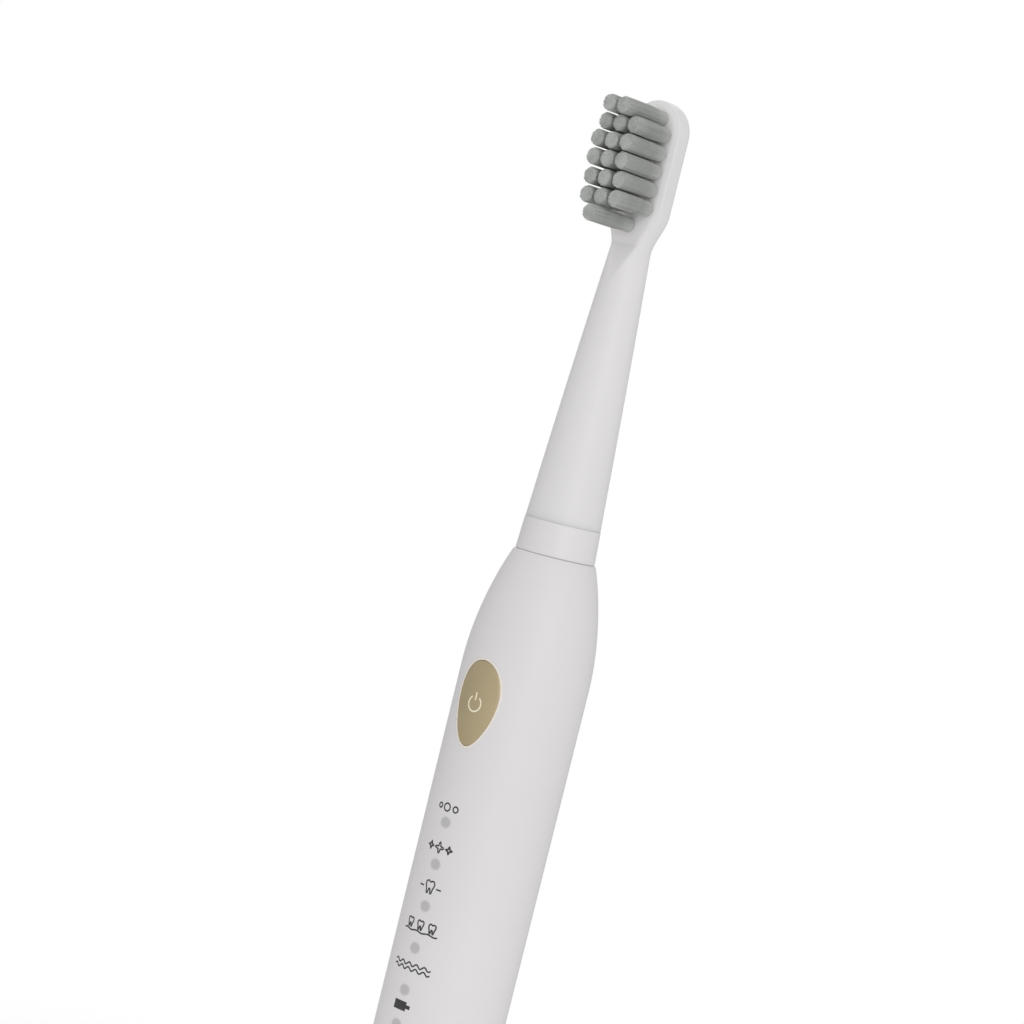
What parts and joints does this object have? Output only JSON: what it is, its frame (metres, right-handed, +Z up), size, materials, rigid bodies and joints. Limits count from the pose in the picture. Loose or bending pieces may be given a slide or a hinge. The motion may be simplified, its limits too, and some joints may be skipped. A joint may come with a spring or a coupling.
{
  "type": "electric toothbrush on charger",
  "caption": "Slim round electric toothbrush with a push-on brush head, an egg-shaped power button and mode lights, standing upright in a round inductive charger.",
  "frame": {"origin": "on the table, at the middle of the underside of the charger's foot pad", "axes": "+Z up along the toothbrush, -Y towards the front: the bristles, the power button and the mode lights face -Y"},
  "size_m": [0.052, 0.052, 0.2627],
  "materials": {
    "battery_wrap": "blue shrink wrap",
    "black_plastic": "matt black plastic",
    "bronze": "oil-filled sintered bronze",
    "circuit_board": "green solder mask",
    "copper_winding": "enamelled copper wire",
    "ferrite": "dull dark grey ferrite",
    "frosted_light_guide": "frosted translucent plastic, lights off",
    "gold_button": "satin champagne-gold lacquer",
    "grey_green_nylon": "bundled sage grey-green nylon filaments",
    "grey_plastic": "matt light grey moulded plastic",
    "grey_rubber": "matt grey silicone rubber",
    "magnet": "nickel-plated magnet",
    "pearl_rim": "glossy pearl-cream moulding",
    "steel": "ground stainless or nickel-plated steel",
    "white_plastic": "smooth satin-gloss moulded white ABS"
  },
  "bodies": {
    "charger": {"charger_shell": "white_plastic", "charging_post": "white_plastic", "charger_base_plate": "grey_plastic", "charger_foot_pad": "grey_rubber", "cover_screw_1": "steel", "cover_screw_2": "steel", "cover_screw_3": "steel", "ferrite_core": "ferrite", "primary_coil": "copper_winding", "charger_circuit_board": "circuit_board", "cord_gland": "grey_rubber"},
    "handle": {"handle_shell": "white_plastic", "base_cap": "white_plastic", "charging_socket": "white_plastic", "base_cap_seal": "grey_rubber", "receiver_coil": "copper_winding", "chassis": "grey_plastic", "battery_cell": "battery_wrap", "battery_tab_bottom": "steel", "battery_tab_top": "steel", "circuit_board": "circuit_board", "tact_switch": "black_plastic", "light_guide": "frosted_light_guide", "button_bezel": "pearl_rim", "button_membrane": "grey_rubber", "shaft_seal": "grey_rubber", "motor_housing": "steel", "stator_core": "ferrite", "drive_coil": "copper_winding", "upper_bearing": "bronze", "lower_bearing": "bronze", "centring_spring": "steel"},
    "power_button": {"power_button": "gold_button"},
    "drive_shaft": {"drive_shaft": "steel", "rotor_yoke": "ferrite", "magnet_left": "magnet", "magnet_right": "magnet"},
    "brush_head": {"brush_head_body": "white_plastic", "colour_ring": "white_plastic", "shaft_clip": "steel", "bristle_tuft_01": "grey_green_nylon", "bristle_tuft_02": "grey_green_nylon", "bristle_tuft_03": "grey_green_nylon", "bristle_tuft_04": "grey_green_nylon", "bristle_tuft_05": "grey_green_nylon", "bristle_tuft_06": "grey_green_nylon", "bristle_tuft_07": "grey_green_nylon", "bristle_tuft_08": "grey_green_nylon", "bristle_tuft_09": "grey_green_nylon", "bristle_tuft_10": "grey_green_nylon", "bristle_tuft_11": "grey_green_nylon", "bristle_tuft_12": "grey_green_nylon", "bristle_tuft_13": "grey_green_nylon", "bristle_tuft_14": "grey_green_nylon", "bristle_tuft_15": "grey_green_nylon", "bristle_tuft_16": "grey_green_nylon", "bristle_tuft_17": "grey_green_nylon", "bristle_tuft_18": "grey_green_nylon"}
  },
  "joints": [
    {"name": "handle_lift", "type": "slide", "parent": "charger", "child": "handle", "axis": [0, 0, 1], "range_m": [0, 0.03]},
    {"name": "power_button_press", "type": "slide", "parent": "handle", "child": "power_button", "axis": [0, 1, 0], "range_m": [0, 0.0005], "stiffness_N_per_m": 1500},
    {"name": "shaft_oscillation", "type": "hinge", "parent": "handle", "child": "drive_shaft", "pos_m": [0, 0, 0.1733], "axis": [0, 0, 1], "range_deg": [-6, 6], "stiffness_Nm_per_rad": 0.02},
    {"name": "brush_head_pull", "type": "slide", "parent": "drive_shaft", "child": "brush_head", "axis": [0, 0, 1], "range_m": [0, 0.02]}
  ]
}
